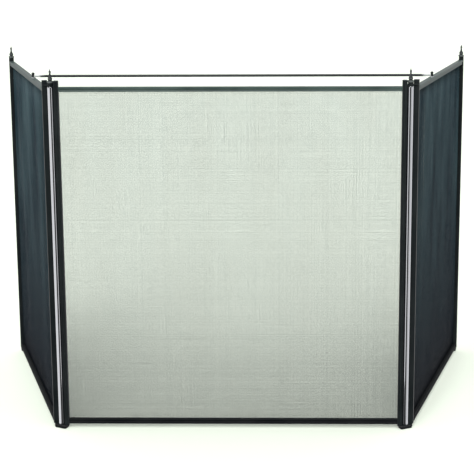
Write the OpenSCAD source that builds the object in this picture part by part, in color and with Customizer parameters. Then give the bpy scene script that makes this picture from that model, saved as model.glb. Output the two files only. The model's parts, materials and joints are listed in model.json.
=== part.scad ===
// Three-panel fireplace screen in millimetres. A wide centre panel stands between two
// hinge posts, and a wing swings on each post. A loose stay rod rests on studs on the
// two wings' top rails. The floor is z = 0, x = 0 is the middle of the centre panel and
// y = 0 is the plane of the two hinge axes. The wings stand behind it, toward +y.

/* [Screen] */
// Distance between the two hinge posts, centre to centre
post_spacing = 790; // [500:5:1000]
// Height of the rails' top edges above the floor
rail_top = 791; // [500:1:1000]
// Gap between the floor and the rails' bottom edges
floor_gap = 11; // [10:0.5:14]
// Reach of each wing from its hinge axis to its outer edge
wing_w = 550; // [300:5:600]
// Angle from the centre panel's line back to the left wing
left_angle = 70; // [40:0.5:90]
// Angle from the centre panel's line back to the right wing
right_angle = 71.5; // [40:0.5:90]

/* [Frame bars] */
// Width of a frame bar, seen from the front
bar_w = 11; // [10:0.5:14]
// Depth of a frame bar, front to back
bar_t = 12; // [11.5:0.5:14]
// Width of the raised bead along a bar's outer edge
bead_w = 5; // [3:0.5:5.5]
// Height of that bead above the bar's inner half
bead_h = 1.5; // [0.5:0.1:2]
// Offset of the centre frame's middle plane from the hinge axes
centre_offset = -2; // [-4:0.5:-2]
// Offset of a wing frame's middle plane from its hinge axis
wing_offset = -11; // [-13:0.5:-11]
// Height of the hinge-side stiles above the rails
horn_h = 14; // [13:0.5:18]
// Height of the outer stiles above the rails
outer_top_h = 9; // [4:0.5:12]

/* [Mesh and strips] */
// Thickness of the solid sheet that stands in for the woven mesh
mesh_t = 1.2; // [0.8:0.1:1.2]
// Thickness of the flat strips that clamp the mesh from behind
strip_t = 1.4; // [1:0.1:1.5]
// Diameter of the screw heads
screw_head_d = 4.4; // [3.4:0.2:4.4]
// Diameter of the screw shanks
screw_d = 2; // [1.6:0.2:2]

/* [Hinge posts] */
// Outside diameter of the polished post tube
tube_d = 14; // [12:0.5:14]
// Wall thickness of the post tube
tube_wall = 1; // [0.8:0.1:1.5]
// Diameter of the threaded hinge rod inside the tube
hinge_rod_d = 6; // [5:0.5:6]
// Thickness of the hinge lugs
lug_t = 1.8; // [1.5:0.1:2]
// Height of a post's foot block
foot_h = 6.4; // [6:0.1:6.6]
// Length of a post's foot block on the floor
foot_l = 28; // [24:1:32]
// Turn of a foot block toward its wing
foot_turn = 24; // [10:1:35]

/* [Finials] */
// Height of a finial
finial_h = 30; // [24:1:40]
// Diameter of a finial's base ring
finial_d = 14; // [12:0.5:14]

/* [Stay rod] */
// Diameter of the stay rod
stay_d = 6; // [4:0.5:7]
// Distance from a hinge axis to the stud on that wing's top rail
stud_reach = 173; // [80:1:300]
// Height of a stud's plate
stud_h = 0.8; // [0.5:0.1:1]
// Height of the caps at the stay rod's ends
cap_h = 11.4; // [9:0.2:14]
// Diameter of those caps
cap_d = 7; // [7:0.2:9]

/* [Hidden] */
part_name = "fireplace_screen";

half = post_spacing / 2;
// running clearance round a rod in its bore, and between parts that turn on each other
fit = 0.3;
gap = 0.4;
// clear space between a hinge axis and the stile beside it
axis_gap = tube_d / 2 + 0.5;
centre_half = half - axis_gap;
centre_y = centre_offset - bar_t / 2;
wing_y = wing_offset - bar_t / 2;
// back rebate of a bar: how wide the bar is behind it, and how deep its floor lies
rebate_u = bar_w - 5;
rebate_v = bar_t - 3.8;
mesh_v = rebate_v + 0.1;
strip_v = mesh_v + mesh_t + 0.1;
strip_w = 4.6;
strip_u = rebate_u + 0.2;
screw_u = strip_u + strip_w / 2;
screw_v = strip_v + strip_t;
screw_in = 4;
// heights on a post, from the floor up
wing_lug_z = foot_h + gap;
stile_z = wing_lug_z + lug_t;
tube_z = stile_z + gap;
stile_top = rail_top + horn_h;
outer_top = rail_top + outer_top_h;
centre_lug_z = rail_top + 0.3;
top_lug_z = centre_lug_z + 2 + gap;
collar_z = top_lug_z + lug_t + fit;
finial_z = rail_top + 9;
stay_z = rail_top + stud_h + gap;

// The origin is on the floor, x at the middle of the centre panel and y at the middle of
// the object's depth, so every piece is drawn from the hinge axes' plane and then settled.
mid_y = (wing_w * sin(max(left_angle, right_angle)) - foot_l / 2) / 2;
module settle() { translate([0, -mid_y, 0]) children(); }

// Section of a frame bar: u runs from its outer edge, v from its front to its back.
module bar_section() {
  polygon([
    [0, 0.8], [0.8, 0], [bead_w, 0], [bead_w, bead_h], [bar_w - 0.6, bead_h],
    [bar_w, bead_h + 0.6], [bar_w, rebate_v], [rebate_u, rebate_v],
    [rebate_u, bar_t], [0, bar_t]
  ]);
}

// Places its children at each [x, z] of a list, on the y of a bar's depth v.
module at_spots(spots, y) {
  for (p = spots) translate([p[0], y, p[1]]) rotate([-90, 0, 0]) children();
}

// Evenly spread positions between two ends, both ends kept.
function spread(a, b, n) = [for (i = [0 : n - 1]) a + (b - a) * i / (n - 1)];

// Screw spots round a panel from x0 to x1: its two stiles, then its two rails.
function stile_spots(x0, x1, n) = [
  for (x = [x0 + screw_u, x1 - screw_u])
    for (z = spread(floor_gap + 45, rail_top - 45, n)) [x, z]
];
function rail_spots(x0, x1, n) = [
  for (z = [floor_gap + screw_u, rail_top - screw_u])
    for (x = spread(x0 + 60, x1 - 60, n)) [x, z]
];
function panel_spots(x0, x1, ns, nr) = concat(stile_spots(x0, x1, ns), rail_spots(x0, x1, nr));

// Blind holes for the screws, from a bar's rebate floor forward.
module pilot_holes(spots, y) {
  at_spots(spots, y + screw_in) cylinder(h = bar_t, d = screw_d + 2 * fit, $fn = 12);
}

// A stile whose outer edge is at x. side is 1 when the bar lies toward +x of that edge.
module stile(x, side, y, z0, z1, spots) {
  difference() {
    translate([x, y, z0])
      mirror([side > 0 ? 0 : 1, 0, 0])
        linear_extrude(height = z1 - z0) bar_section();
    pilot_holes(spots, y);
  }
}

module top_rail(x0, x1, y, spots) {
  difference() {
    translate([x0, y, rail_top])
      rotate([0, 90, 0])
        linear_extrude(height = x1 - x0) bar_section();
    pilot_holes(spots, y);
  }
}

module bottom_rail(x0, x1, y, spots) {
  difference() {
    translate([x1, y, floor_gap])
      rotate([0, -90, 0])
        linear_extrude(height = x1 - x0) bar_section();
    pilot_holes(spots, y);
  }
}

// The sheet that stands in for the woven mesh, let 4 mm into the rebates.
module mesh_sheet(x0, x1, y, spots) {
  difference() {
    translate([x0 + rebate_u + 1, y + mesh_v, floor_gap + rebate_u + 1])
      cube([x1 - x0 - 2 * rebate_u - 2, mesh_t, rail_top - floor_gap - 2 * rebate_u - 2]);
    at_spots(spots, y + mesh_v - 1) cylinder(h = mesh_t + 2, d = screw_d + 2 * fit, $fn = 12);
  }
}

// Four flat strips behind the mesh: two full-height ones and two between them.
module clamp_strips(x0, x1, y, spots) {
  za = floor_gap + strip_u;
  zb = rail_top - strip_u - strip_w;
  difference() {
    union() {
      for (x = [x0 + strip_u, x1 - strip_u - strip_w])
        translate([x, y + strip_v, za]) cube([strip_w, strip_t, rail_top - floor_gap - 2 * strip_u]);
      for (z = [za, zb])
        translate([x0 + strip_u + strip_w + 0.2, y + strip_v, z])
          cube([x1 - x0 - 2 * (strip_u + strip_w + 0.2), strip_t, strip_w]);
    }
    at_spots(spots, y + strip_v - 1) cylinder(h = strip_t + 2, d = screw_d + 2 * fit, $fn = 12);
  }
}

// Screws with low heads, driven forward through strip and mesh into the bar.
module panel_screws(spots, y) {
  at_spots(spots, y + screw_v) cylinder(h = 0.6, d = screw_head_d, $fn = 20);
  at_spots(spots, y + screw_v + 0.6) cylinder(h = 0.3, d1 = screw_head_d, d2 = screw_head_d - 1.2, $fn = 20);
  at_spots(spots, y + screw_in + 0.6) cylinder(h = screw_v - screw_in - 0.6, d = screw_d, $fn = 12);
}

// A turned finial standing at z = 0: base ring, waist, bulge, long neck and ball tip.
module finial(bored) {
  s = finial_h / 30;
  r = finial_d / 14;
  b = bored ? hinge_rod_d / 2 + fit : 0;
  rotate_extrude($fn = 36)
    polygon(bored
      ? [[b, 0], [6.4 * r, 0], [7 * r, 0.7 * s], [7 * r, 3.2 * s], [6.2 * r, 4 * s],
         [4.5 * r, 5 * s], [4.3 * r, 6.4 * s], [5.4 * r, 9.2 * s], [5 * r, 11 * s],
         [3.4 * r, 14.5 * s], [2.1 * r, 19 * s], [1.9 * r, 21 * s], [2.7 * r, 24 * s],
         [2.4 * r, 26 * s], [1.1 * r, 28.2 * s], [0.5 * r, 30 * s], [0, 30 * s],
         [0, 6 * s], [b, 6 * s]]
      : [[0, 0], [6.4 * r, 0], [7 * r, 0.7 * s], [7 * r, 3.2 * s], [6.2 * r, 4 * s],
         [4.5 * r, 5 * s], [4.3 * r, 6.4 * s], [5.4 * r, 9.2 * s], [5 * r, 11 * s],
         [3.4 * r, 14.5 * s], [2.1 * r, 19 * s], [1.9 * r, 21 * s], [2.7 * r, 24 * s],
         [2.4 * r, 26 * s], [1.1 * r, 28.2 * s], [0.5 * r, 30 * s], [0, 30 * s]]);
}

// ---- the centre panel, on the two posts ----

cx = centre_half;
centre_ns = 6;
centre_nr = 5;
centre_rail_x = centre_half - bar_w;

module centre_stile(side) {
  spots = [for (z = spread(floor_gap + 45, rail_top - 45, centre_ns)) [side * (cx - screw_u), z]];
  color("#15171a") settle()
    stile(side * cx, -side, centre_y, foot_h, stile_top, spots);
}
module centre_stile_left() { centre_stile(-1); }
module centre_stile_right() { centre_stile(1); }

module centre_rail_top() {
  spots = [for (x = spread(-cx + 60, cx - 60, centre_nr)) [x, rail_top - screw_u]];
  color("#1b1e20") settle() top_rail(-centre_rail_x, centre_rail_x, centre_y, spots);
}
module centre_rail_bottom() {
  spots = [for (x = spread(-cx + 60, cx - 60, centre_nr)) [x, floor_gap + screw_u]];
  color("#1b1e20") settle() bottom_rail(-centre_rail_x, centre_rail_x, centre_y, spots);
}
module centre_mesh() {
  color("#a9b0a8") settle() mesh_sheet(-cx, cx, centre_y, panel_spots(-cx, cx, centre_ns, centre_nr));
}
module centre_strips() {
  color("#202326") settle() clamp_strips(-cx, cx, centre_y, panel_spots(-cx, cx, centre_ns, centre_nr));
}
module centre_screws() {
  color("#8a8d90") settle() panel_screws(panel_spots(-cx, cx, centre_ns, centre_nr), centre_y);
}

module post_tube(side) {
  color("#d8dadd") settle() translate([side * half, 0, tube_z]) difference() {
    cylinder(h = rail_top - tube_z, d = tube_d, $fn = 48);
    translate([0, 0, -1]) cylinder(h = rail_top, d = tube_d - 2 * tube_wall, $fn = 48);
  }
}
module post_tube_left() { post_tube(-1); }
module post_tube_right() { post_tube(1); }

module hinge_rod(side) {
  color("#9a9da0") settle() translate([side * half, 0, 2]) cylinder(h = finial_z + 5.5 - 2, d = hinge_rod_d, $fn = 24);
}
module hinge_rod_left() { hinge_rod(-1); }
module hinge_rod_right() { hinge_rod(1); }

// Lug that ties a centre stile to its hinge rod, above the tube.
module centre_lug(side) {
  color("#15171a") settle() translate([side * half, 0, centre_lug_z]) difference() {
    hull() {
      cylinder(h = 2, d = tube_d - 0.4, $fn = 48);
      translate([side > 0 ? -axis_gap : axis_gap - 1, -6.5, 0]) cube([1, 10, 2]);
    }
    translate([0, 0, -1]) cylinder(h = 4, d = hinge_rod_d + 2 * fit, $fn = 24);
  }
}
module centre_lug_left() { centre_lug(-1); }
module centre_lug_right() { centre_lug(1); }

module post_collar(side) {
  color("#15171a") settle() translate([side * half, 0, collar_z]) difference() {
    cylinder(h = finial_z - collar_z, d = 12.4, $fn = 36);
    translate([0, 0, -1]) cylinder(h = 10, d = hinge_rod_d + 2 * fit, $fn = 24);
  }
}
module post_collar_left() { post_collar(-1); }
module post_collar_right() { post_collar(1); }

module post_finial_left() { color("#101214") settle() translate([-half, 0, finial_z]) finial(true); }
module post_finial_right() { color("#101214") settle() translate([half, 0, finial_z]) finial(true); }

// Foot block: its long side faces outward, and its inner end carries the centre stile.
module post_foot(side) {
  color("#101214") settle() translate([side * half, 0, 0]) rotate([0, 0, side * foot_turn]) difference() {
    linear_extrude(height = foot_h, scale = [1.16, 1.08])
      offset(r = 3, $fn = 32) square([foot_l - 6, 10], center = true);
    translate([0, 0, 1.5]) cylinder(h = foot_h, d = hinge_rod_d + 2 * fit, $fn = 24);
  }
}
module post_foot_left() { post_foot(-1); }
module post_foot_right() { post_foot(1); }

// ---- a wing, drawn along +x from its hinge axis, then put on its post ----

wing_ns = 6;
wing_nr = 3;
wx0 = axis_gap;
wing_rail_0 = wx0 + bar_w;
wing_rail_1 = wing_w - bar_w;
wing_edge = wing_w - bar_w / 2;

module on_wing(side) {
  if (side > 0) translate([half, 0, 0]) rotate([0, 0, right_angle]) children();
  else mirror([1, 0, 0]) translate([half, 0, 0]) rotate([0, 0, left_angle]) children();
}

module wing_stile_hinge(side) {
  spots = [for (z = spread(floor_gap + 45, rail_top - 45, wing_ns)) [wx0 + screw_u, z]];
  color("#15171a") settle() on_wing(side) stile(wx0, 1, wing_y, stile_z, stile_top, spots);
}
module wing_stile_outer(side) {
  spots = [for (z = spread(floor_gap + 45, rail_top - 45, wing_ns)) [wing_w - screw_u, z]];
  color("#15171a") settle() on_wing(side) stile(wing_w, -1, wing_y, stile_z, outer_top, spots);
}
module wing_rail_top(side) {
  spots = [for (x = spread(wx0 + 60, wing_w - 60, wing_nr)) [x, rail_top - screw_u]];
  color("#1b1e20") settle() on_wing(side) top_rail(wing_rail_0, wing_rail_1, wing_y, spots);
}
module wing_rail_bottom(side) {
  spots = [for (x = spread(wx0 + 60, wing_w - 60, wing_nr)) [x, floor_gap + screw_u]];
  color("#1b1e20") settle() on_wing(side) bottom_rail(wing_rail_0, wing_rail_1, wing_y, spots);
}
module wing_mesh(side) {
  color("#3f4a50") settle() on_wing(side)
    mesh_sheet(wx0, wing_w, wing_y, panel_spots(wx0, wing_w, wing_ns, wing_nr));
}
module wing_strips(side) {
  color("#202326") settle() on_wing(side)
    clamp_strips(wx0, wing_w, wing_y, panel_spots(wx0, wing_w, wing_ns, wing_nr));
}
module wing_screws(side) {
  color("#8a8d90") settle() on_wing(side)
    panel_screws(panel_spots(wx0, wing_w, wing_ns, wing_nr), wing_y);
}
// Upper lug: welded to the side of the hinge stile, above the centre panel's lug.
module wing_lug_top(side) {
  color("#15171a") settle() on_wing(side) translate([0, 0, top_lug_z]) difference() {
    hull() {
      cylinder(h = lug_t, d = tube_d - 0.4, $fn = 48);
      translate([axis_gap - 1, wing_y + 2, 0]) cube([1, 9, lug_t]);
    }
    translate([0, 0, -1]) cylinder(h = 4, d = hinge_rod_d + 2 * fit, $fn = 24);
  }
}
// Lower lug: runs under the hinge stile's end, between the foot block and the tube.
module wing_lug_bottom(side) {
  color("#15171a") settle() on_wing(side) translate([0, 0, wing_lug_z]) difference() {
    hull() {
      cylinder(h = lug_t, d = tube_d - 0.4, $fn = 48);
      translate([axis_gap, wing_y + 2, 0]) cube([9, 9, lug_t]);
    }
    translate([0, 0, -1]) cylinder(h = 4, d = hinge_rod_d + 2 * fit, $fn = 24);
  }
}
module wing_finial(side) {
  color("#101214") settle() on_wing(side) translate([wing_edge, wing_offset, outer_top]) finial(false);
}
module wing_foot(side) {
  color("#101214") settle() on_wing(side) translate([wing_edge, wing_offset, 0])
    cylinder(h = stile_z, d1 = 9.5, d2 = 11, $fn = 32);
}
module wing_stud(side) {
  color("#8a8d90") settle() on_wing(side) translate([stud_reach, wing_offset, rail_top])
    cylinder(h = stud_h, d1 = 9, d2 = 8, $fn = 32);
}

module left_stile_hinge() { wing_stile_hinge(-1); }
module left_stile_outer() { wing_stile_outer(-1); }
module left_rail_top() { wing_rail_top(-1); }
module left_rail_bottom() { wing_rail_bottom(-1); }
module left_mesh() { wing_mesh(-1); }
module left_strips() { wing_strips(-1); }
module left_screws() { wing_screws(-1); }
module left_lug_top() { wing_lug_top(-1); }
module left_lug_bottom() { wing_lug_bottom(-1); }
module left_finial() { wing_finial(-1); }
module left_foot() { wing_foot(-1); }
module left_stud() { wing_stud(-1); }
module right_stile_hinge() { wing_stile_hinge(1); }
module right_stile_outer() { wing_stile_outer(1); }
module right_rail_top() { wing_rail_top(1); }
module right_rail_bottom() { wing_rail_bottom(1); }
module right_mesh() { wing_mesh(1); }
module right_strips() { wing_strips(1); }
module right_screws() { wing_screws(1); }
module right_lug_top() { wing_lug_top(1); }
module right_lug_bottom() { wing_lug_bottom(1); }
module right_finial() { wing_finial(1); }
module right_foot() { wing_foot(1); }
module right_stud() { wing_stud(1); }

// ---- the stay rod, from the left wing's stud to the right wing's ----

left_x = -half - stud_reach * cos(left_angle) + wing_offset * sin(left_angle);
left_y = stud_reach * sin(left_angle) + wing_offset * cos(left_angle);
right_x = half + stud_reach * cos(right_angle) - wing_offset * sin(right_angle);
right_y = stud_reach * sin(right_angle) + wing_offset * cos(right_angle);
stay_turn = atan2(right_y - left_y, right_x - left_x);
stay_len = norm([right_x - left_x, right_y - left_y]);

// The rod's ends meet flats on the caps.
module stay_rod() {
  color("#1a1c1e") settle() translate([left_x, left_y, stay_z + stay_d / 2]) rotate([0, 0, stay_turn])
    rotate([0, 90, 0]) translate([0, 0, cap_d / 2 - 0.3])
      cylinder(h = stay_len - cap_d + 0.6, d = stay_d, $fn = 32);
}
module stay_cap(x, y, side) {
  color("#1a1c1e") settle() translate([x, y, stay_z]) rotate([0, 0, stay_turn]) difference() {
    union() {
      cylinder(h = cap_h - 1, d = cap_d, $fn = 36);
      translate([0, 0, cap_h - 1]) cylinder(h = 1, d1 = cap_d, d2 = cap_d - 2, $fn = 36);
    }
    translate([0, 0, -1]) cylinder(h = 6.5, d = 4.6, $fn = 24);
    translate([side > 0 ? -cap_d / 2 - 1 : cap_d / 2 - 0.3, -cap_d, -1]) cube([1.3, 2 * cap_d, cap_h + 2]);
  }
}
module stay_cap_left() { stay_cap(left_x, left_y, -1); }
module stay_cap_right() { stay_cap(right_x, right_y, 1); }

centre_stile_left();
centre_stile_right();
centre_rail_top();
centre_rail_bottom();
centre_mesh();
centre_strips();
centre_screws();
post_tube_left();
post_tube_right();
hinge_rod_left();
hinge_rod_right();
centre_lug_left();
centre_lug_right();
post_collar_left();
post_collar_right();
post_finial_left();
post_finial_right();
post_foot_left();
post_foot_right();
left_stile_hinge();
left_stile_outer();
left_rail_top();
left_rail_bottom();
left_mesh();
left_strips();
left_screws();
left_lug_top();
left_lug_bottom();
left_finial();
left_foot();
left_stud();
right_stile_hinge();
right_stile_outer();
right_rail_top();
right_rail_bottom();
right_mesh();
right_strips();
right_screws();
right_lug_top();
right_lug_bottom();
right_finial();
right_foot();
right_stud();
stay_rod();
stay_cap_left();
stay_cap_right();
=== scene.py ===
# %% [markdown]
# # A three-panel fireplace screen
# A wide centre panel of fine wire cloth stands between two hinge posts, and a mesh wing swings on each.
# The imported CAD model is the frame: every piece below is made where the CAD node it belongs to stands,
# and rides on that node's body. All lengths in Blender are metres; `MM` turns millimetres into them.

# %% Load the frame
import bpy
import json
import math
import numpy as np
from mathutils import Matrix, Vector


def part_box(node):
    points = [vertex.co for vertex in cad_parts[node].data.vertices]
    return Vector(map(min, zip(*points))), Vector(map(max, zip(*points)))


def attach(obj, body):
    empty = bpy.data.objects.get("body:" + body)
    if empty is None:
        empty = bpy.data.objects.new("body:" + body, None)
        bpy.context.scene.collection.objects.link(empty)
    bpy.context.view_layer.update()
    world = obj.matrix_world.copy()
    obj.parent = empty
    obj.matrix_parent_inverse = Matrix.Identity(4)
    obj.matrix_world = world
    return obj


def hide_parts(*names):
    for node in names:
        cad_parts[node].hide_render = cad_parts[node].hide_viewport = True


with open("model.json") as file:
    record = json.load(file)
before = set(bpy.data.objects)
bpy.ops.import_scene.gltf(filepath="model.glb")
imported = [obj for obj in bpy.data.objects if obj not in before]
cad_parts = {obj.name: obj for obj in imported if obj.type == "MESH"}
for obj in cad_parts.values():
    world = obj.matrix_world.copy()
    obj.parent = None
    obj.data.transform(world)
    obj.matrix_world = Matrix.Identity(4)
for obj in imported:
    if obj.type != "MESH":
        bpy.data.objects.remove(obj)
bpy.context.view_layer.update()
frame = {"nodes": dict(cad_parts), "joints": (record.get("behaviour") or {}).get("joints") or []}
nodes = frame["nodes"]
MM = 0.001

# %% [markdown]
# ## Where things stand
# A panel is flat, so a point on it needs three numbers: how far along the panel, how deep behind the
# hinge axis, and how high. A `place` holds the three directions and the corner they start from. The
# centre panel's place is the room's own axes; a wing's place is turned about its hinge post. The
# axes, the heights and the rest angles could be typed in again, but they are read from the frame's
# joints and nodes, so that each piece lands on the node that it stands for.

# %% Measures from the frame, in millimetres
def top_of(node):
    """The height of a node's highest point, to a tenth of a millimetre."""
    return round(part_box(node)[1][2] / MM, 1)


def foot_of(node):
    """The height of a node's lowest point, to a tenth of a millimetre."""
    return round(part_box(node)[0][2] / MM, 1)


joints = {joint["name"]: joint for joint in frame["joints"]}
axis_x, axis_y, _ = joints["right_wing_hinge"]["pos_m"]
HALF, DEPTH = round(axis_x / MM, 3), round(-axis_y / MM, 3)   # a hinge axis, from the object's middle
LEFT_ANGLE = math.radians(-joints["left_wing_hinge"]["range_deg"][0])
RIGHT_ANGLE = math.radians(-joints["right_wing_hinge"]["range_deg"][0])
RAIL_TOP, FLOOR_GAP = top_of("centre_rail_top"), foot_of("centre_rail_bottom")
print("hinge axes:", 2 * HALF, "mm apart; rails from", FLOOR_GAP, "to", RAIL_TOP, "mm")

# %% Measures of the bars
BAR_W = RAIL_TOP - foot_of("centre_rail_top")   # a frame bar's width
BAR_T = 12.0                        # and its depth
WING_W, AXIS_GAP = 550.0, 7.5       # a wing's reach, and the first clear point beside a hinge axis
CENTRE_FRONT, WING_FRONT = -8.0, -17.0   # the bars' front faces; minus is before the hinge axes
WING_MID = WING_FRONT + BAR_T / 2   # the middle of a wing bar's depth
print("bars:", BAR_W, "by", BAR_T, "mm")


# %% Places of the three panels
def make_place(corner_x, along, inward):
    """A 4 by 3 array: the directions along, inward and up as rows, then the corner, in millimetres."""
    return np.array([[*along, 0.0], [*inward, 0.0], [0.0, 0.0, 1.0], [corner_x, -DEPTH, 0.0]])


def put(place, a, d, z):
    """Points at a along, d inward and z up: corner + a * along + d * inward + z * up."""
    a, d, z = np.broadcast_arrays(a, d, z)
    return np.stack([a, d, z], -1) @ place[:3] + place[3]


c, s = math.cos(LEFT_ANGLE), math.sin(LEFT_ANGLE)
left_place = make_place(-HALF, (-c, s), (s, c))
c, s = math.cos(RIGHT_ANGLE), math.sin(RIGHT_ANGLE)
right_place = make_place(HALF, (c, s), (-s, c))
centre_place = make_place(0.0, (1, 0), (0, 1))
PANELS = {
    "centre": dict(place=centre_place, body="centre", x0=-HALF + AXIS_GAP, x1=HALF - AXIS_GAP,
                   front=CENTRE_FRONT),
    "left": dict(place=left_place, body="left_wing", x0=AXIS_GAP, x1=WING_W, front=WING_FRONT),
    "right": dict(place=right_place, body="right_wing", x0=AXIS_GAP, x1=WING_W, front=WING_FRONT),
}
print("panels:", {k: round(p["x1"] - p["x0"], 1) for k, p in PANELS.items()}, "mm wide")

# %% [markdown]
# ## From arrays to meshes
# Every surface here is a grid: rings of points that follow one another. One helper joins the rings
# with four-sided faces, and another writes points and faces into a mesh. It also adds up the signed
# volume of the pyramids from the origin to each face. A closed shape that comes out negative is
# inside out, as a mirrored wing is, so its faces are turned over. Blender's own recalculation of
# normals would find that too, but the sum is one line of arithmetic and never guesses.

# %% Grid faces
def ring_faces(rings, around):
    """Quads between each ring and the next, for rings of `around` points that close on themselves."""
    r = np.arange(rings - 1)[:, None] * around
    k = np.arange(around)[None, :]
    n = (k + 1) % around
    return np.stack([r + k, r + n, r + around + n, r + around + k], -1).reshape(-1, 4)


def end_caps(rings, around):
    """One many-sided face over the first ring, turned over, and one over the last."""
    k = np.arange(around)
    return k[None, ::-1], (k + around * (rings - 1))[None]


def repeated_tubes(count, rings, around):
    """The faces of `count` closed tubes, each of its own run of points: quads, first ends and last ends."""
    step = (np.arange(count) * rings * around)[:, None, None]
    parts = (ring_faces(rings, around), *end_caps(rings, around))
    return [(part[None] + step).reshape(-1, part.shape[1]) for part in parts]


def signed_volume(points, faces):
    """Sixth parts of p0 . (pj x pk) over each face's fan of triangles, added up."""
    total = 0.0
    for f in faces:
        p0 = points[f[:, 0]]
        for j in range(1, f.shape[1] - 1):
            total += np.einsum("ij,ij->", p0, np.cross(points[f[:, j]], points[f[:, j + 1]])) / 6
    return total


print("three rings of four points:", len(ring_faces(3, 4)), "faces")


# %% The mesh writer
def put_mesh(name, points, faces, edge=None, sharp=35.0):
    """A mesh object from points in mm and a list of face arrays. edge is a 0 to 1 mark per point for wear,
    and on the stay rod for its painted end reflection.
    """
    points = np.asarray(points, float).reshape(-1, 3)
    if signed_volume(points, faces) < 0:
        faces = [f[:, ::-1] for f in faces]
    me = bpy.data.meshes.new(name)
    corners = np.concatenate([f.ravel() for f in faces]).astype(np.int32)
    sizes = np.concatenate([np.full(len(f), f.shape[1]) for f in faces])
    starts = np.concatenate([[0], np.cumsum(sizes)[:-1]]).astype(np.int32)
    me.vertices.add(len(points))
    me.vertices.foreach_set("co", (points * MM).astype(np.float32).ravel())
    me.loops.add(len(corners))
    me.loops.foreach_set("vertex_index", corners)
    me.polygons.add(len(sizes))
    me.polygons.foreach_set("loop_start", starts)
    me.update(calc_edges=True)
    me.validate()
    me.polygons.foreach_set("use_smooth", np.ones(len(sizes), bool))
    if sharp:
        me.set_sharp_from_angle(angle=math.radians(sharp))
    if edge is not None:
        mark = me.attributes.new("edge", "FLOAT", "POINT")
        mark.data.foreach_set("value", np.asarray(edge, np.float32).ravel())
    ob = bpy.data.objects.new(name, me)
    bpy.context.scene.collection.objects.link(ob)
    return ob


def stand_for(ob, body, node):
    """The piece rides on a body and stands for a CAD node, whose own mesh is hidden."""
    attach(ob, body)
    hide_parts(node)
    return ob


# %% [markdown]
# ## Finishes
# Painted bars, cast finials and the wire share two small effects, so each is a node group built once.
# `cloudy` turns a position into a slow mottle and a fine grain; on the wire, stretched upright, the mottle is
# painted sheen. `worn_edge` takes the `edge` mark that a piece carries on its points and breaks it up with
# noise, as paint wears off a corner in patches; on the stay rod the same mark puts a painted reflection on
# its ends.
# A bevel node could find the edges by itself, but a mark on the points says which edges wear. The
# groups put out numbers only; the shader stays in each material.

# %% Node helpers
def new_group(name, inputs, outputs):
    """An empty shader node group with the named sockets, and its input and output nodes."""
    group = bpy.data.node_groups.new(name, "ShaderNodeTree")
    for label, kind, value in inputs:
        socket = group.interface.new_socket(name=label, in_out="INPUT", socket_type="NodeSocket" + kind)
        if value is not None:
            socket.default_value = value
    for label in outputs:
        group.interface.new_socket(name=label, in_out="OUTPUT", socket_type="NodeSocketFloat")
    return group, group.nodes.new("NodeGroupInput"), group.nodes.new("NodeGroupOutput")


def add(tree, kind, **values):
    """A node of that kind. Names that are its properties are set; the rest are its input sockets."""
    node = tree.nodes.new("ShaderNode" + kind)
    for key, value in values.items():
        if hasattr(node, key):
            setattr(node, key, value)
        else:
            node.inputs[key.replace("_", " ")].default_value = value
    return node


def link(tree, a, b):
    """Joins output a to input b."""
    tree.links.new(a, b)


def combine(tree, operation, a, b):
    """The output of a Math node on two outputs."""
    node = add(tree, "Math", operation=operation)
    link(tree, a, node.inputs[0])
    link(tree, b, node.inputs[1])
    return node.outputs[0]


def ramp(tree, source, low, high, at_low=0.0, at_high=1.0, shape="LINEAR"):
    """A value that goes from at_low to at_high while the source goes from low to high."""
    node = add(tree, "MapRange", interpolation_type=shape)
    for label, value in (("From Min", low), ("From Max", high), ("To Min", at_low), ("To Max", at_high)):
        node.inputs[label].default_value = value
    link(tree, source, node.inputs["Value"])
    return node.outputs[0]


def blend_colours(tree, factor, first, second):
    """A mix: first where the factor is 0, second where it is 1. Each is a colour or an output."""
    node = add(tree, "Mix", data_type="RGBA")
    for socket, value in zip([i for i in node.inputs if i.type == "RGBA"], (first, second)):
        if isinstance(value, tuple):
            socket.default_value = (*value, 1)
        else:
            link(tree, value, socket)
    link(tree, factor, node.inputs["Factor"])
    return [o for o in node.outputs if o.type == "RGBA"][0]


# %% The cloudy group
cloudy, g_in, g_out = new_group(
    "cloudy",
    [("Position", "Vector", None), ("Patch Scale", "Float", 20.0), ("Grain Scale", "Float", 900.0)],
    ["Patches", "Grain"],
)
patch = add(cloudy, "TexNoise", Detail=3.0, Roughness=0.55)
grain = add(cloudy, "TexNoise", Detail=2.0, Roughness=0.6)
for tex, scale in ((patch, "Patch Scale"), (grain, "Grain Scale")):
    link(cloudy, g_in.outputs["Position"], tex.inputs["Vector"])
    link(cloudy, g_in.outputs[scale], tex.inputs["Scale"])
link(cloudy, patch.outputs["Fac"], g_out.inputs["Patches"])
link(cloudy, grain.outputs["Fac"], g_out.inputs["Grain"])
print("cloudy:", len(cloudy.nodes), "nodes")

# %% The worn edge group
worn_edge, g_in, g_out = new_group(
    "worn_edge",
    [("Position", "Vector", None), ("Edge", "Float", 0.0), ("Amount", "Float", 0.5)],
    ["Worn"],
)
breakup = add(worn_edge, "TexNoise", Scale=160.0, Detail=4.0, Roughness=0.7)
link(worn_edge, g_in.outputs["Position"], breakup.inputs["Vector"])
marked = combine(worn_edge, "MULTIPLY", g_in.outputs["Edge"], breakup.outputs["Fac"])
scaled = combine(worn_edge, "MULTIPLY", marked, g_in.outputs["Amount"])
link(worn_edge, ramp(worn_edge, scaled, 0.18, 0.42, shape="SMOOTHSTEP"), g_out.inputs["Worn"])
print("worn_edge:", len(worn_edge.nodes), "nodes")

# %% One recipe for the metal finishes
PAINTED_SHADE_LOW, PAINTED_SHADE_HIGH = 0.05, 0.75    # metres above the floor between which the painted shade thins out
BUMP_SIZE = 0.0002                  # metres from the grain's valleys to its tops


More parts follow.
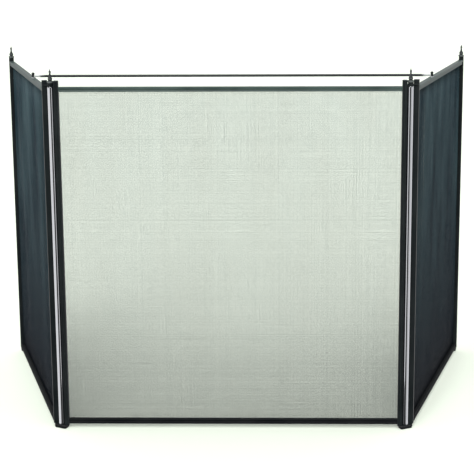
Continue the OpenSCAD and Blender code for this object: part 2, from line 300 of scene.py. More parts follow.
def metal_finish(name, dark, light, rough, patch_scale=14.0, grain_scale=700.0, bump=0.03, stretch=(1, 1, 1),
                 shine=0.5, metallic=0.0, worn=None, amount=0.9, painted_shade=None):
    """Base Color runs from dark to light over the patches, Roughness from rough[0] to rough[1] over
    patches plus grain, and a fine bump follows the grain. worn, if given, is the bare colour on marked
    edges, and the last argument, if given, is painted shade: a darker colour that takes over towards the
    floor."""
    mat = bpy.data.materials.new(name)
    mat.use_nodes = True
    tree = mat.node_tree
    tree.nodes.clear()
    shader = add(tree, "BsdfPrincipled", Metallic=metallic, Specular_IOR_Level=shine)
    link(tree, shader.outputs[0], add(tree, "OutputMaterial").inputs["Surface"])
    where = add(tree, "TexCoord").outputs["Object"]
    stretched = add(tree, "Mapping", Scale=stretch)
    link(tree, where, stretched.inputs["Vector"])
    clouds = add(tree, "Group", node_tree=cloudy, Patch_Scale=patch_scale, Grain_Scale=grain_scale)
    link(tree, stretched.outputs[0], clouds.inputs["Position"])
    patches, grain = clouds.outputs["Patches"], clouds.outputs["Grain"]
    colour = blend_colours(tree, ramp(tree, patches, 0.3, 0.7), dark, light)
    # painted shade: towards the floor the colour goes over to the darker one
    if painted_shade is not None:
        axes = add(tree, "SeparateXYZ")
        link(tree, where, axes.inputs[0])
        colour = blend_colours(tree, ramp(tree, axes.outputs["Z"], PAINTED_SHADE_LOW, PAINTED_SHADE_HIGH), painted_shade, colour)
    if worn is not None:
        mark = add(tree, "Attribute", attribute_name="edge", attribute_type="GEOMETRY")
        wear = add(tree, "Group", node_tree=worn_edge, Amount=amount)
        link(tree, where, wear.inputs["Position"])
        link(tree, mark.outputs["Fac"], wear.inputs["Edge"])
        colour = blend_colours(tree, wear.outputs["Worn"], colour, worn)
    link(tree, colour, shader.inputs["Base Color"])
    link(tree, ramp(tree, combine(tree, "ADD", grain, patches), 0.5, 1.5, *rough), shader.inputs["Roughness"])
    raised = add(tree, "Bump", Strength=bump, Distance=BUMP_SIZE)
    link(tree, grain, raised.inputs["Height"])
    link(tree, raised.outputs[0], shader.inputs["Normal"])
    return mat


# %% The finishes of this screen
FINISH = {
    "enamel": metal_finish("black_enamel", (0.004, 0.006, 0.007), (0.010, 0.013, 0.014), (0.30, 0.46),
                           bump=0.10, shine=0.2, worn=(0.06, 0.07, 0.07), amount=0.8),
    # painted light: the top rails' lighter, greener enamel stands for the overhead light on their top faces
    "painted-light enamel": metal_finish("top_rail_black_painted_light", (0.022, 0.038, 0.035), (0.046, 0.070, 0.064), (0.36, 0.52),
                               bump=0.12, shine=0.2, worn=(0.11, 0.14, 0.13)),
    # painted shade: a darker, duller copy of the enamel for the bottom rails and feet, low by the floor
    "painted-shade enamel": metal_finish("black_painted_shade", (0.003, 0.004, 0.005), (0.008, 0.009, 0.010), (0.45, 0.65),
                                 grain_scale=400.0, bump=0.15, shine=0.08, worn=(0.03, 0.03, 0.03),
                                 amount=0.7),
    "cast": metal_finish("casting_black", (0.006, 0.008, 0.008), (0.015, 0.019, 0.020), (0.34, 0.55),
                         grain_scale=450.0, bump=0.25, shine=0.25, worn=(0.08, 0.09, 0.09)),
    "nickel": metal_finish("polished_nickel", (0.74, 0.76, 0.80), (0.86, 0.87, 0.90), (0.04, 0.10),
                           patch_scale=9.0, grain_scale=260.0, bump=0.004, stretch=(1, 1, 0.06),
                           metallic=1.0),
    # painted sheen: the wire's light and dark patches, stretched upright, stand for the streaks of light that
    # the wavy cloth reflects; the darker colour given last is painted shade towards the floor
    "wire": metal_finish("screen_wire_painted_sheen_and_shade", (0.006, 0.020, 0.030), (0.052, 0.088, 0.102), (0.42, 0.60),
                         grain_scale=1500.0, bump=0.05, stretch=(1, 1, 0.25), shine=0.10,
                         painted_shade=(0.004, 0.007, 0.012)),
    "strip": metal_finish("strip_black", (0.010, 0.012, 0.013), (0.024, 0.028, 0.030), (0.35, 0.55),
                          grain_scale=350.0, bump=0.08, shine=0.3),
    "zinc": metal_finish("zinc_bright", (0.42, 0.43, 0.44), (0.60, 0.61, 0.62), (0.25, 0.42),
                         patch_scale=60.0, grain_scale=1200.0, bump=0.05, metallic=1.0),
    # the rod's pale edge colour is no wear: it is a painted reflection of the pale room on the rod's ends
    "rod": metal_finish("stay_rod_black_painted_end_reflection", (0.010, 0.012, 0.013), (0.022, 0.025, 0.027), (0.30, 0.45),
                        bump=0.08, shine=0.3, worn=(0.45, 0.47, 0.46), amount=1.3),
}


def finish_with(ob, key):
    """Gives an object one finish, in place of whatever it came with."""
    ob.data.materials.clear()
    ob.data.materials.append(FINISH[key])
    return ob


print("finishes:", sorted(m.name for m in FINISH.values()))

# %% [markdown]
# ## Frame bars
# A bar is rolled steel: a raised flat along its outer edge, a groove, a canted inner half that rises
# again towards the mesh, and a rebate behind for the mesh's edge. One could model a box and bevel
# it, but a bar is really one section carried along a line, so the section is drawn once, its corners
# are turned into small arcs, and rings of it are strung from end to end. The first and last rings are
# drawn in a little, which rounds the cut ends. Smooth shading spreads a corner's tilt over the whole
# face beside it, so an extra point or ring close to each arc keeps the long flats flat.

# %% The bar's section
BESIDE = 0.2                        # from an arc's end to the extra point on the flat


def round_corners(corners, radii, steps=3):
    """Replaces each corner by an arc. With unit vectors e1, e2 to the neighbours and half the corner's
    angle h, the arc starts r / tan(h) along e1, ends as far along e2, and its centre is r / sin(h)
    along their bisector. One more point lies BESIDE each end of an arc. Also returns a mark,
    sin(pi t) along the arc of each outward corner."""
    p = np.asarray(corners, float)
    e1 = np.roll(p, 1, 0) - p
    e2 = np.roll(p, -1, 0) - p
    e1 /= np.linalg.norm(e1, axis=1)[:, None]
    e2 /= np.linalg.norm(e2, axis=1)[:, None]
    h = np.arccos(np.clip((e1 * e2).sum(1), -1, 1)) / 2
    r = np.asarray(radii, float)
    middle = p + (e1 + e2) / np.linalg.norm(e1 + e2, axis=1)[:, None] * (r / np.sin(h))[:, None]
    a0 = p + e1 * (r / np.tan(h))[:, None] - middle
    a1 = p + e2 * (r / np.tan(h))[:, None] - middle
    t = np.linspace(0, 1, steps + 1)[None, :, None]
    turn = (math.pi - 2 * h)[:, None, None]
    arc = (np.sin((1 - t) * turn) * a0[:, None] + np.sin(t * turn) * a1[:, None]) / np.sin(turn)
    outward = (e1[:, 0] * e2[:, 1] - e1[:, 1] * e2[:, 0]) > 0
    mark = outward[:, None] * np.sin(math.pi * t[..., 0])
    arc = np.concatenate([(a0 + BESIDE * e1)[:, None], arc, (a1 + BESIDE * e2)[:, None]], 1)
    return (middle[:, None] + arc).reshape(-1, 2), np.pad(mark, ((0, 0), (1, 1))).ravel()


def drawn_in(loop, by):
    """The loop moved inward by `by` along the mean normal of the edges that meet at each point."""
    ahead = np.roll(loop, -1, 0) - loop
    behind = loop - np.roll(loop, 1, 0)
    tangent = ahead / np.maximum(np.linalg.norm(ahead, axis=1), 1e-9)[:, None]
    tangent = tangent + behind / np.maximum(np.linalg.norm(behind, axis=1), 1e-9)[:, None]
    tangent /= np.linalg.norm(tangent, axis=1)[:, None]
    x, y = loop.T
    turning = np.sign(np.sum(x * np.roll(y, -1) - np.roll(x, -1) * y))
    return loop + by * turning * np.stack([-tangent[:, 1], tangent[:, 0]], 1)


SECTION = [(0, 0), (5, 0), (5, 2.5), (10.6, 0.8), (11, 8.2), (6, 8.2), (6, 12), (0, 12)]
SECTION_R = [0.9, 0.6, 0.35, 0.5, 0.3, 0.2, 0.3, 0.5]
bar_loop, bar_mark = round_corners(SECTION, SECTION_R)
print("bar section:", len(bar_loop), "points")


# %% A bar from its section
END_BREAK = 0.45                    # how far a bar's cut end is rounded


def bar_points(length):
    """Rings of the section at 0, 0.3 b, b and b + 1.2 from both ends, drawn in by b, 0.3 b, 0 and 0."""
    b = END_BREAK
    from_end, inset = np.array([0, b * 0.3, b, b + 1.2]), np.array([b, b * 0.3, 0, 0])
    stations = np.concatenate([from_end, length - from_end[::-1]])
    loops = np.stack([drawn_in(bar_loop, by) for by in (*inset, *inset[::-1])])
    return loops, stations


def make_bar(name, panel, kind, start, end):
    """A stile runs up at its x, a rail runs along at its height; u always runs inward from the outer edge."""
    p = PANELS[panel]
    loops, stations = bar_points(end - start)
    u, v = loops[..., 0], loops[..., 1] + p["front"]
    run = np.broadcast_to(start + stations[:, None], u.shape)
    if kind == "stile_low":
        points = put(p["place"], p["x0"] + u, v, run)
    elif kind == "stile_high":
        points = put(p["place"], p["x1"] - u, v, run)
    elif kind == "rail_top":
        points = put(p["place"], run, v, RAIL_TOP - u)
    else:
        points = put(p["place"], run, v, FLOOR_GAP + u)
    rings, n = u.shape
    faces = [ring_faces(rings, n), *end_caps(rings, n)]
    edge = np.broadcast_to(bar_mark, u.shape).copy()
    edge[[0, 1, -2, -1]] = 1.0
    ob = put_mesh(name, points, faces, edge)
    # the top rails take the lighter enamel with painted light, the bottom rails the darker one with painted
    # shade
    enamel = {"rail_top": "painted-light enamel", "rail_bottom": "painted-shade enamel"}.get(kind, "enamel")
    finish_with(stand_for(ob, p["body"], name.removesuffix("_bar")), enamel)


# %% The twelve bars
STILE_TOP, OUTER_TOP = top_of("centre_stile_left"), top_of("left_stile_outer")
STILE_FOOT, CENTRE_FOOT = foot_of("left_stile_hinge"), foot_of("centre_stile_left")
inner = HALF - AXIS_GAP - BAR_W
make_bar("centre_stile_left_bar", "centre", "stile_low", CENTRE_FOOT, STILE_TOP)
make_bar("centre_stile_right_bar", "centre", "stile_high", CENTRE_FOOT, STILE_TOP)
make_bar("centre_rail_top_bar", "centre", "rail_top", -inner, inner)
make_bar("centre_rail_bottom_bar", "centre", "rail_bottom", -inner, inner)
for side in ("left", "right"):
    make_bar(f"{side}_stile_hinge_bar", side, "stile_low", STILE_FOOT, STILE_TOP)
    make_bar(f"{side}_stile_outer_bar", side, "stile_high", STILE_FOOT, OUTER_TOP)
    make_bar(f"{side}_rail_top_bar", side, "rail_top", AXIS_GAP + BAR_W, WING_W - BAR_W)
    make_bar(f"{side}_rail_bottom_bar", side, "rail_bottom", AXIS_GAP + BAR_W, WING_W - BAR_W)

# %% [markdown]
# ## Wire cloth
# The cloth is fine wire, between fourteen and fifteen to the inch: one set of upright wires in front
# of one set of level wires, joined where they cross. A texture with holes would do from far off, but
# the wings are seen almost edge-on, where only real wires close up as they should. A wire this thin
# needs only three sides.
# Between its clamped edges the cloth swells and sinks a little, as stretched cloth does, so each
# wire has a ring every few centimetres that follows those slow waves. No two wires are drawn or laid
# quite alike: a seeded random number moves each one a little and makes it thicker or thinner, which
# gives the cloth its faint streaks.

# %% Cloth measures
WIRE_D, PITCH = 0.44, 1.75
UNEVEN = 0.045                      # how much wires differ in place and thickness
CORNER = 0.605                      # a three-sided wire's corner from its middle, in thicknesses
LAYER = 0.48                        # each layer from the cloth's mid depth, in thicknesses
CLOTH_V = 8.9                       # the cloth's mid depth, from the front of a bar
LET_IN = 7.2                        # how far the cloth's edge lies inside a panel's outer edge
UPRIGHT_GAP = 60.0                  # between the rings of an upright wire
LEVEL_GAP = {"centre": 40.0, "left": 26.0, "right": 26.0}   # of a level wire; the wings wave more
print("cloth:", round(25.4 / PITCH, 1), "wires to the inch")


# %% The cloth's slow waves
def swell(a, z, p, height):
    """Slow waves in the cloth, a sum of sines along and up, times a window that is 0 at the clamped edges."""
    ua = (a - p["x0"]) / (p["x1"] - p["x0"])
    uz = (z - FLOOR_GAP) / (RAIL_TOP - FLOOR_GAP)
    window = (1 - (2 * ua - 1) ** 8) * (1 - (2 * uz - 1) ** 8)
    folds = np.sin(a / 24.0 + 1.2 * np.sin(z / 150.0)) * (0.25 + 0.75 * uz)
    slants = 0.5 * np.sin(a / 31.0 - z / 260.0 + 1.0)
    return height * window * (folds + slants + 0.3 * np.sin(z / 95.0 + a / 120.0)) / 1.6


def even_steps(low, high, step):
    """Places from low to high, as near to `step` apart as fits exactly."""
    return np.linspace(low, high, round((high - low) / step) + 1)


print("places 5 apart from 0 to 12:", even_steps(0, 12, 5))


# %% One layer of wires
def wires(name, panel, upright, height):
    """One set of parallel wires. A ring at (a, z) is three points round the depth CLOTH_V + swell -+ LAYER
    thicknesses, minus for the upright set. Wire k lies at its even place plus a small random step, and
    its thickness is WIRE_D times 1 plus another."""
    p = PANELS[panel]
    a = even_steps(p["x0"] + LET_IN, p["x1"] - LET_IN, PITCH if upright else LEVEL_GAP[panel])
    z = even_steps(FLOOR_GAP + LET_IN, RAIL_TOP - LET_IN, UPRIGHT_GAP if upright else PITCH)
    chance = np.random.default_rng(len(name) * 31 + len(a))   # the same draw on every run
    laid = a if upright else z
    laid[1:-1] += chance.normal(0, UNEVEN * PITCH, len(laid) - 2)
    thick = WIRE_D * (1 + chance.normal(0, UNEVEN, len(laid)).clip(-0.2, 0.2))[:, None, None]
    if upright:
        A, Z = np.meshgrid(a, z, indexing="ij")
    else:
        Z, A = np.meshgrid(z, a, indexing="ij")
    D = p["front"] + CLOTH_V + swell(A, Z, p, height) + (-LAYER if upright else LAYER) * WIRE_D
    turn = np.array([0.0, 2.0, 4.0]) * math.pi / 3 + math.pi / 2
    across, deep = thick * CORNER * np.cos(turn), thick * CORNER * np.sin(turn)
    A, Z, D = A[..., None], Z[..., None], D[..., None] + deep
    points = put(p["place"], A + across, D, Z) if upright else put(p["place"], A, D, Z + across)
    ob = put_mesh(name, points, repeated_tubes(*points.shape[:3]), sharp=None)
    finish_with(stand_for(ob, p["body"], f"{panel}_mesh"), "wire")
    print(name, "has", len(points), "wires of", len(ob.data.polygons) // len(points), "faces")


# %% Lay the three cloths
for panel, height in (("centre", 0.4), ("left", 2.6), ("right", 1.4)):
    wires(f"{panel}_mesh_upright", panel, True, height)
    wires(f"{panel}_mesh_level", panel, False, height)

# %% [markdown]
# ## Turned pieces
# Post tubes, finials, feet and caps are turned on a lathe, so each is a line of radii and heights
# spun about an upright axis. A Screw modifier would turn it as well, but rings of our own can carry
# the wear mark. Where the line meets the axis the rings shrink to a single point.

# %% The lathe
def spin(name, radius, height, centre, around=48, edge=None, closed=False):
    """Point (k, t) is centre + (r_k cos t, r_k sin t, h_k). An end on the axis is one point with a fan of
    triangles; closed joins the last ring to the first, as on a pipe."""
    r, h = np.asarray(radius, float), np.asarray(height, float)
    t = np.linspace(0, 2 * math.pi, around, endpoint=False)
    body = slice(1 if r[0] == 0 else 0, len(r) - 1 if r[-1] == 0 else len(r))
    rr, hh = r[body], h[body]
    x = rr[:, None] * np.cos(t)
    y = rr[:, None] * np.sin(t)
    points = np.stack([x, y, np.broadcast_to(hh[:, None], x.shape)], -1).reshape(-1, 3)
    mark = np.zeros(len(r)) if edge is None else np.asarray(edge, float)
    marks = np.repeat(mark[body], around)
    faces = [ring_faces(len(rr), around)]
    k = np.arange(around)
    if closed:
        last = (len(rr) - 1) * around
        faces.append(np.stack([last + k, last + (k + 1) % around, (k + 1) % around, k], 1))
    if r[0] == 0:
        points = np.vstack([points, [[0, 0, h[0]]]])
        marks = np.append(marks, mark[0])
        faces.append(np.stack([np.full(around, len(points) - 1), (k + 1) % around, k], 1))
    if r[-1] == 0:
        points = np.vstack([points, [[0, 0, h[-1]]]])
        marks = np.append(marks, mark[-1])
        last = (len(rr) - 1) * around
        faces.append(np.stack([np.full(around, len(points) - 1), last + k, last + (k + 1) % around], 1))
    return put_mesh(name, points + np.asarray(centre, float), faces, marks, sharp=40.0)


# %% [markdown]
# ## Post tubes
# A hinge post shows as a polished pipe with softly broken ends. A plain cylinder would do from afar,
# but the pipe is open, so its outline runs round its wall: the bore's end, the rim, and a ring 2 mm in
# that keeps the long wall shading straight. The other end is the same list backwards.

# %% Post tubes: polished pipe with softly broken ends
TUBE_R, TUBE_WALL, TUBE_BREAK = 7.0, 1.0, 0.15
TUBE_FOOT, TUBE_TOP = foot_of("post_tube_left"), top_of("post_tube_left")
b, bore = TUBE_BREAK, TUBE_R - TUBE_WALL
end_r = [bore, bore + b, TUBE_R - b, TUBE_R - b * 0.3, TUBE_R, TUBE_R]
end_z = [b, 0, 0, b * 0.3, b, 2]
wall_r = end_r + end_r[::-1]
wall_z = [TUBE_FOOT + z for z in end_z] + [TUBE_TOP - z for z in reversed(end_z)]
for side, x in (("left", -HALF), ("right", HALF)):
    ob = spin(f"post_tube_{side}_polished", wall_r, wall_z, (x, -DEPTH, 0), around=96, closed=True)
    finish_with(stand_for(ob, "centre", f"post_tube_{side}"), "nickel")
print("post tubes:", TUBE_TOP - TUBE_FOOT, "mm long")

# %% [markdown]
# ## Finials
# A finial is a base ring, a waist, a bead, a long hollow cone and a ball with a small point. Its
# outline could be drawn freehand, but each stretch is simple enough for its own short formula, and
# the stretches are joined end to end.

# %% The finial's outline
def finial_outline():
    """Ring: straight with broken edges. Bead: 4.3 + 1.1 sin. Cone: 1.8 + 2.7 (1 - t)^2.2. Ball: a circle's
    sqrt(R^2 - (z - c)^2). Point: a short taper that ends on the axis."""
    t = np.linspace(0, 1, 9)
    ring_r, ring_z = [0, 6.3, 6.85, 7.0, 7.0, 6.8, 6.1], [0, 0, 0.15, 0.7, 3.1, 3.7, 4.0]
    waist_r, waist_z = [4.9, 4.35, 4.25], [4.35, 5.0, 5.9]
    bead_r, bead_z = 4.3 + 1.1 * np.sin(math.pi * t), 6.5 + 4.0 * t
    cone_r, cone_z = 1.8 + 2.7 * (1 - t) ** 2.2, 10.8 + 9.2 * t
    collar_r, collar_z = [2.35, 2.45, 2.35], [20.3, 20.7, 21.1]
    around = np.radians(np.linspace(-55, 62, 10))
    ball_r, ball_z = 2.75 * np.cos(around), 24.0 + 2.75 * np.sin(around)
    tip_r, tip_z = [1.0, 0.85, 0.6, 0.0], [27.0, 28.4, 29.6, 30.0]
    r = np.concatenate([ring_r, waist_r, bead_r, cone_r, collar_r, ball_r, tip_r])
    z = np.concatenate([ring_z, waist_z, bead_z, cone_z, collar_z, ball_z, tip_z])
    worn = np.isin(np.round(r, 2), [6.85, 7.0, 6.8, 2.35, 2.45]) | (r > 5.2) & (z > 6) | (z > 22) & (r > 2.3)
    return r, z, worn.astype(float)


outline_r, outline_z, outline_worn = finial_outline()
print("finial outline:", len(outline_r), "points")

# %% Four finials
FINIAL_FOOT = foot_of("post_finial_left")
edge_mid = WING_W - BAR_W / 2       # the middle of a wing's outer stile, along the wing
spots = {
    "post_finial_left": ((-HALF, -DEPTH, FINIAL_FOOT), "centre"),
    "post_finial_right": ((HALF, -DEPTH, FINIAL_FOOT), "centre"),
    "left_finial": (put(left_place, edge_mid, WING_MID, OUTER_TOP), "left_wing"),
    "right_finial": (put(right_place, edge_mid, WING_MID, OUTER_TOP), "right_wing"),
}
for node, (spot, body) in spots.items():
    ob = spin(node + "_turned", outline_r, outline_z, spot, around=40, edge=outline_worn)
    finish_with(stand_for(ob, body, node), "cast")
print("finials:", len(spots))

# %% [markdown]
# ## Feet
# Each post stands on a block whose long side faces outward, and each wing's outer stile has a small
# turned foot. A bevelled cube would be near enough for the block, but it widens upward, so it is a
# stack of rounded rectangles that grow with height, with the lowest and highest drawn in a little.

# %% Rounded rectangles
def rounded_rectangle(length, width, r, steps=6):
    """Quarter circles of radius r round the four corners of the smaller rectangle inside."""
    t = np.linspace(0, math.pi / 2, steps)
    quarters = []
    for k, (sx, sy) in enumerate(((1, 1), (-1, 1), (-1, -1), (1, -1))):
        a = t + k * math.pi / 2
        x, y = sx * (length / 2 - r) + r * np.cos(a), sy * (width / 2 - r) + r * np.sin(a)
        quarters.append(np.stack([x, y], 1))
    return np.concatenate(quarters)


print("a rounded rectangle:", len(rounded_rectangle(28, 16, 3)), "points")

# %% Foot blocks
BLOCK_L, BLOCK_W, BLOCK_H, BLOCK_R = 28.0, 16.0, 6.4, 3.0
BLOCK_TURN = 24.0                   # degrees that a block's long side is turned outward
levels = np.array([0.0, 0.25, 0.9, 5.5, 6.2, BLOCK_H])
drawn = np.array([0.9, 0.25, 0.0, 0.0, 0.25, 0.8])
rings = np.stack([
    rounded_rectangle(BLOCK_L * (1 + 0.16 * g) - 2 * k, BLOCK_W * (1 + 0.08 * g) - 2 * k, BLOCK_R - 0.5 * k)
    for g, k in zip(levels / BLOCK_H, drawn)
])
for side, x, turn in (("left", -HALF, -BLOCK_TURN), ("right", HALF, BLOCK_TURN)):
    co, si = math.cos(math.radians(turn)), math.sin(math.radians(turn))
    px, py = rings[..., 0] * co - rings[..., 1] * si, rings[..., 0] * si + rings[..., 1] * co
    points = np.stack([x + px, py - DEPTH, np.broadcast_to(levels[:, None], px.shape)], -1)
    edge = np.broadcast_to((drawn > 0)[:, None], px.shape)
    ob = put_mesh(f"post_foot_{side}_block", points, [ring_faces(*px.shape), *end_caps(*px.shape)], edge)
    # the darker enamel of the foot blocks is painted shade near the floor
    finish_with(stand_for(ob, "centre", f"post_foot_{side}"), "painted-shade enamel")
print("foot blocks:", len(levels), "rings each")

# %% Turned feet of the wings
foot_r = [0, 4.2, 4.7, 4.9, 5.3, 5.5, 5.5, 5.2, 4.6, 0]
foot_z = [0, 0, 0.3, 0.9, 4.0, 5.6, 7.4, 8.3, 8.6, 8.6]
for side, place in (("left", left_place), ("right", right_place)):
    ob = spin(f"{side}_foot_turned", foot_r, foot_z, put(place, edge_mid, WING_MID, 0.0), around=32,
              edge=[0, 1, 1, 1, 0, 0.6, 0.6, 1, 0, 0])
    # the darker enamel of the turned feet is painted shade near the floor
    finish_with(stand_for(ob, f"{side}_wing", f"{side}_foot"), "painted-shade enamel")
print("turned feet:", max(foot_z), "mm high")

# %% [markdown]
# ## The stay rod
# A round rod lies across the wings and its end caps drop over studs on their top rails. The rod is
# blackened, and its ends carry a painted reflection: a pale colour that fades in over the last few
# centimetres. A curve with a round bevel would draw the rod in one step, but rings of points also hold the
# mark that says how pale each stretch is, and the finish turns that mark to a pale steel colour.

# %% The rod's line
STUD_REACH = 173.0                  # a stud from the hinge axis, along its wing
STAY_Z = foot_of("stay_rod")
ROD_R, NECK_R = 3.0, 2.5            # the rod, and its turned-down ends inside the caps
left_end = put(left_place, STUD_REACH, WING_MID, STAY_Z + ROD_R)
right_end = put(right_place, STUD_REACH, WING_MID, STAY_Z + ROD_R)
run = right_end - left_end
length = np.linalg.norm(run)
along = run / length
sideways = np.array([-along[1], along[0], 0.0])
print("stay rod:", round(float(length), 1), "mm between its caps' middles")

# %% The rod
station = np.array([2.4, 3.2, 9, 13, 14, 18, 24, 30, 37, 45, 60, 200, length / 2])
station = np.concatenate([station, length - station[-2::-1]])
from_end = np.minimum(station, length - station)
rod_r = np.interp(from_end, [2.4, 3.2, 13.0, 14.0], [NECK_R - 0.3, NECK_R, NECK_R, ROD_R])
# painted reflection: how strongly the pale colour shows, fading out over 45 mm from each end
bright = np.interp(from_end, [0, 9, 18, 30, 45], [1.0, 0.85, 0.55, 0.25, 0.0])
t = np.linspace(0, 2 * math.pi, 32, endpoint=False)
circle = np.cos(t)[:, None] * sideways + np.sin(t)[:, None] * [0, 0, 1]
points = left_end + station[:, None, None] * along + rod_r[:, None, None] * circle
faces = [ring_faces(len(station), len(t)), *end_caps(len(station), len(t))]
rod = put_mesh("stay_rod_round", points, faces, np.repeat(bright, len(t)), sharp=50.0)
finish_with(stand_for(rod, "stay", "stay_rod"), "rod")
print("rod rings:", len(station))

# %% Its caps
cap_r = [0, 2.3, 2.3, 2.6, 3.3, 3.5, 3.5, 3.15, 3.15, 3.5, 3.5, 3.2, 2.4, 1.2, 0]
cap_z = [5.5, 5.5, 0.3, 0, 0, 0.3, 1.6, 1.9, 7.6, 7.9, 9.4, 10.3, 11.0, 11.35, 11.4]
for side, end in (("left", left_end), ("right", right_end)):
    ob = spin(f"stay_cap_{side}_turned", cap_r, cap_z, (end[0], end[1], STAY_Z), around=36,
              edge=[0, 0, 0, 0, 0.5, 0.5, 0.4, 0, 0, 0.4, 0.5, 0.4, 0.2, 0, 0])
    finish_with(stand_for(ob, "stay", f"stay_cap_{side}"), "cast")
print("caps:", max(cap_z), "mm high")

# %% [markdown]
# ## Screws
# Low-head screws hold the clamp strips from behind. A screw is a turned shape too, except for the
# six-sided socket in its head. A boolean cut would make the socket but leave ragged faces, so here
# the last rings have a radius that depends on the angle as well.

# %% One screw
def screw_rings(around=12):
    """Ring radii and depths from the tip to the bottom of the socket. A socket ring has the radius of a
    hexagon: a / cos(t mod 60 degrees - 30 degrees)."""
    t = np.linspace(0, 2 * math.pi, around, endpoint=False)
    hexagon = 1 / np.cos(np.mod(t, math.pi / 3) - math.pi / 6)
    one = np.ones(around)
    rings = [(0.9, -6.4, one), (1.0, -6.0, one), (1.0, 0, one), (2.05, 0, one), (2.2, 0.2, one),
             (2.1, 0.6, one), (1.7, 0.86, one), (0.75, 0.9, hexagon), (0.7, 0.35, hexagon)]
    r = np.stack([k * shape for k, _, shape in rings])
    depth = np.array([d for _, d, _ in rings])[:, None]
    return np.stack([r * np.cos(t), np.broadcast_to(depth, r.shape), r * np.sin(t)], -1)


one_screw = screw_rings()
print("a screw:", one_screw.shape[0], "rings of", one_screw.shape[1])

# %% Screws for each panel
SCREW_U, SCREW_V = 8.5, 11.0        # from a panel's outer edge, and from the front of a bar
STILE_END, RAIL_END = 45, 60        # from the panel's corner to the first screw of a stile or rail
for panel, (ns, nr) in (("centre", (6, 5)), ("left", (6, 3)), ("right", (6, 3))):
    p = PANELS[panel]
    zs = np.linspace(FLOOR_GAP + STILE_END, RAIL_TOP - STILE_END, ns)
    xs = np.linspace(p["x0"] + RAIL_END, p["x1"] - RAIL_END, nr)
    on_stiles = [(x, z) for x in (p["x0"] + SCREW_U, p["x1"] - SCREW_U) for z in zs]
    on_rails = [(x, z) for z in (FLOOR_GAP + SCREW_U, RAIL_TOP - SCREW_U) for x in xs]
    x, z = np.array(on_stiles + on_rails).T[..., None, None]
    a, d, up = one_screw[..., 0] + x, one_screw[..., 1] + p["front"] + SCREW_V, one_screw[..., 2] + z
    points = put(p["place"], a, d, up)
    ob = put_mesh(f"{panel}_screws_turned", points, repeated_tubes(*points.shape[:3]))
    finish_with(stand_for(ob, p["body"], f"{panel}_screws"), "zinc")
    print(panel, "screws:", len(points))

# %% [markdown]
# ## CAD nodes that stay
# Lugs, collars, clamp strips, hinge rods and studs are plain turned and flat pieces. They could be made
# again with rounded edges, but they are small or hidden and right as the CAD made them, so they keep
# their shape and only take a finish.

# %% Finishes for the CAD nodes
KEPT = {
    "enamel": ["centre_lug_left", "centre_lug_right", "post_collar_left", "post_collar_right",
               "left_lug_top", "left_lug_bottom", "right_lug_top", "right_lug_bottom"],
    "strip": ["centre_strips", "left_strips", "right_strips"],
    "zinc": ["hinge_rod_left", "hinge_rod_right", "left_stud", "right_stud"],
}
for key, names in KEPT.items():
    for node in names:
        finish_with(nodes[node], key)
print("kept CAD nodes:", sum(len(v) for v in KEPT.values()))

# %% [markdown]
# ## Floor, light and camera
# The floor is a pale sheet. A polished post seen from above would mirror the floor in front of it and
# turn white, so the floor is left out of mirrors and the posts keep the dark room in them, which is
# the dark line down each middle. Two low soft panels stand to the left and right of the camera and
# give each post its two bright lines. The sky of the studio is bright overhead and behind the
# screen, and dark towards the camera. A ready-made picture of a studio could light all this, but a
# few lamps and a formula need no file and can be set one by one.

# %% Floor
FLOOR_HALF, FLOOR_DROP = 40.0, 0.0005   # metres from the middle to the sheet's edge, and below the feet


def pale_floor():
    """A matt, faintly mottled off-white that gives no mirror light."""
    mat = bpy.data.materials.new("studio_floor")
    mat.use_nodes = True
    tree = mat.node_tree
    shader = tree.nodes["Principled BSDF"]
    shader.inputs["Roughness"].default_value = 0.9
    shader.inputs["Specular IOR Level"].default_value = 0.0
    noise = add(tree, "TexNoise", Scale=3.0, Detail=2.0)
    link(tree, add(tree, "TexCoord").outputs["Object"], noise.inputs["Vector"])
    colour = blend_colours(tree, noise.outputs["Fac"], (0.79, 0.85, 0.745), (0.80, 0.86, 0.755))
    link(tree, colour, shader.inputs["Base Color"])
    return mat


me = bpy.data.meshes.new("floor")
corners = [(x * FLOOR_HALF, y * FLOOR_HALF, -FLOOR_DROP) for x, y in ((-1, -1), (1, -1), (1, 1), (-1, 1))]
me.from_pydata(corners, [], [(0, 1, 2, 3)])
me.materials.append(pale_floor())
floor = bpy.data.objects.new("floor", me)
bpy.context.scene.collection.objects.link(floor)
floor.visible_glossy = False
print("floor:", 2 * FLOOR_HALF, "m wide")


# %% Soft panels
def soft_panel(name, near, far, low, high, radiance):
    """An area light standing between two floor points. Its power is pi * area * radiance."""
    lamp = bpy.data.lights.new(name, "AREA")
    near, far = Vector((*near, 0)), Vector((*far, 0))
    width = (far - near).length
    lamp.shape, lamp.size, lamp.size_y = "RECTANGLE", width, high - low
    lamp.energy = math.pi * width * (high - low) * radiance
    ob = bpy.data.objects.new(name, lamp)
    middle = (near + far) / 2 + Vector((0, 0, (low + high) / 2))
    ob.location = middle
    ob.rotation_euler = (Vector((0, -0.1, middle.z)) - middle).to_track_quat("-Z", "Y").to_euler()
    ob.visible_camera = False
    bpy.context.scene.collection.objects.link(ob)


soft_panel("panel_left", (-0.62, -1.75), (-1.7, -0.75), -0.6, 0.8, 0.7)
soft_panel("panel_right", (0.72, -1.75), (1.7, -0.75), -0.6, 0.8, 0.5)

# %% The key light
key = bpy.data.lights.new("key", "SUN")
key.energy, key.angle = 3.2, math.radians(50)
key_light = bpy.data.objects.new("key", key)
key_light.rotation_euler = Vector((0.08, 0.78, -0.62)).to_track_quat("-Z", "Y").to_euler()
bpy.context.scene.collection.objects.link(key_light)
print("lamps:", sorted(lamp.name for lamp in bpy.data.lights))

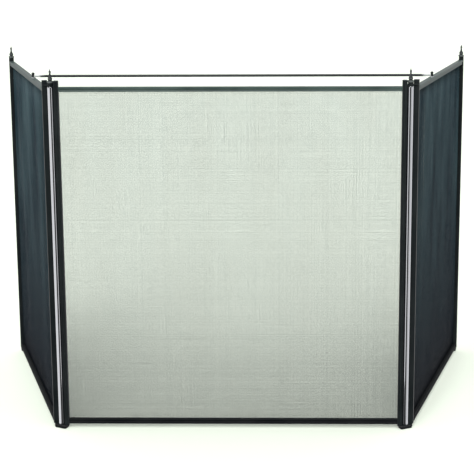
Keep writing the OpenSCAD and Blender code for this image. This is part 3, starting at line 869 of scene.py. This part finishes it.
# %% Studio sky
world = bpy.data.worlds.new("studio")
bpy.context.scene.world = world
world.use_nodes = True
tree = world.node_tree
tree.nodes.clear()
shine = add(tree, "Background", Color=(1, 1, 1, 1))
backdrop = add(tree, "Background", Color=(0.93, 1.0, 0.88, 1), Strength=1.13)
path = add(tree, "LightPath")
either = add(tree, "MixShader")
link(tree, path.outputs["Is Camera Ray"], either.inputs[0])
link(tree, shine.outputs[0], either.inputs[1])
link(tree, backdrop.outputs[0], either.inputs[2])
link(tree, either.outputs[0], add(tree, "OutputWorld").inputs["Surface"])
direction = add(tree, "TexCoord")
split = add(tree, "SeparateXYZ")
link(tree, direction.outputs["Generated"], split.inputs[0])
behind = ramp(tree, split.outputs["Y"], -0.8, 0.3, 0.03, 1.0, "SMOOTHSTEP")
overhead = ramp(tree, split.outputs["Z"], 0.35, 0.65, 0.0, 1.0, "SMOOTHSTEP")
link(tree, combine(tree, "MAXIMUM", behind, overhead), shine.inputs["Strength"])
print("sky:", len(tree.nodes), "nodes")

# %% Camera
bpy.context.scene.view_settings.view_transform = "Standard"
bpy.context.scene.view_settings.look = "None"


def aimed(yaw, pitch, roll):
    """Right, up and back directions for a camera turned by yaw, tipped down by pitch and rolled."""
    yaw, pitch, roll = map(math.radians, (yaw, pitch, roll))
    ahead = Vector((math.sin(yaw) * math.cos(pitch), math.cos(yaw) * math.cos(pitch), -math.sin(pitch)))
    right = Vector((math.cos(yaw), -math.sin(yaw), 0))
    up = right.cross(ahead)
    right, up = right * math.cos(roll) + up * math.sin(roll), up * math.cos(roll) - right * math.sin(roll)
    return Matrix((right, up, -ahead)).transposed()


cam = bpy.data.cameras.new("camera")
cam.sensor_width = 36.0
cam.lens = 92.61
cam.shift_x, cam.shift_y = -0.057, -0.2046
cam.clip_start, cam.clip_end = 0.05, 200
eye = bpy.data.objects.new("camera", cam)
eye.matrix_world = Matrix.Translation((0.1165, -2.9015, 1.1451)) @ aimed(-0.921, 10.134, -0.250).to_4x4()
bpy.context.scene.collection.objects.link(eye)
bpy.context.scene.camera = eye
print("camera lens:", round(cam.lens, 1), "mm")
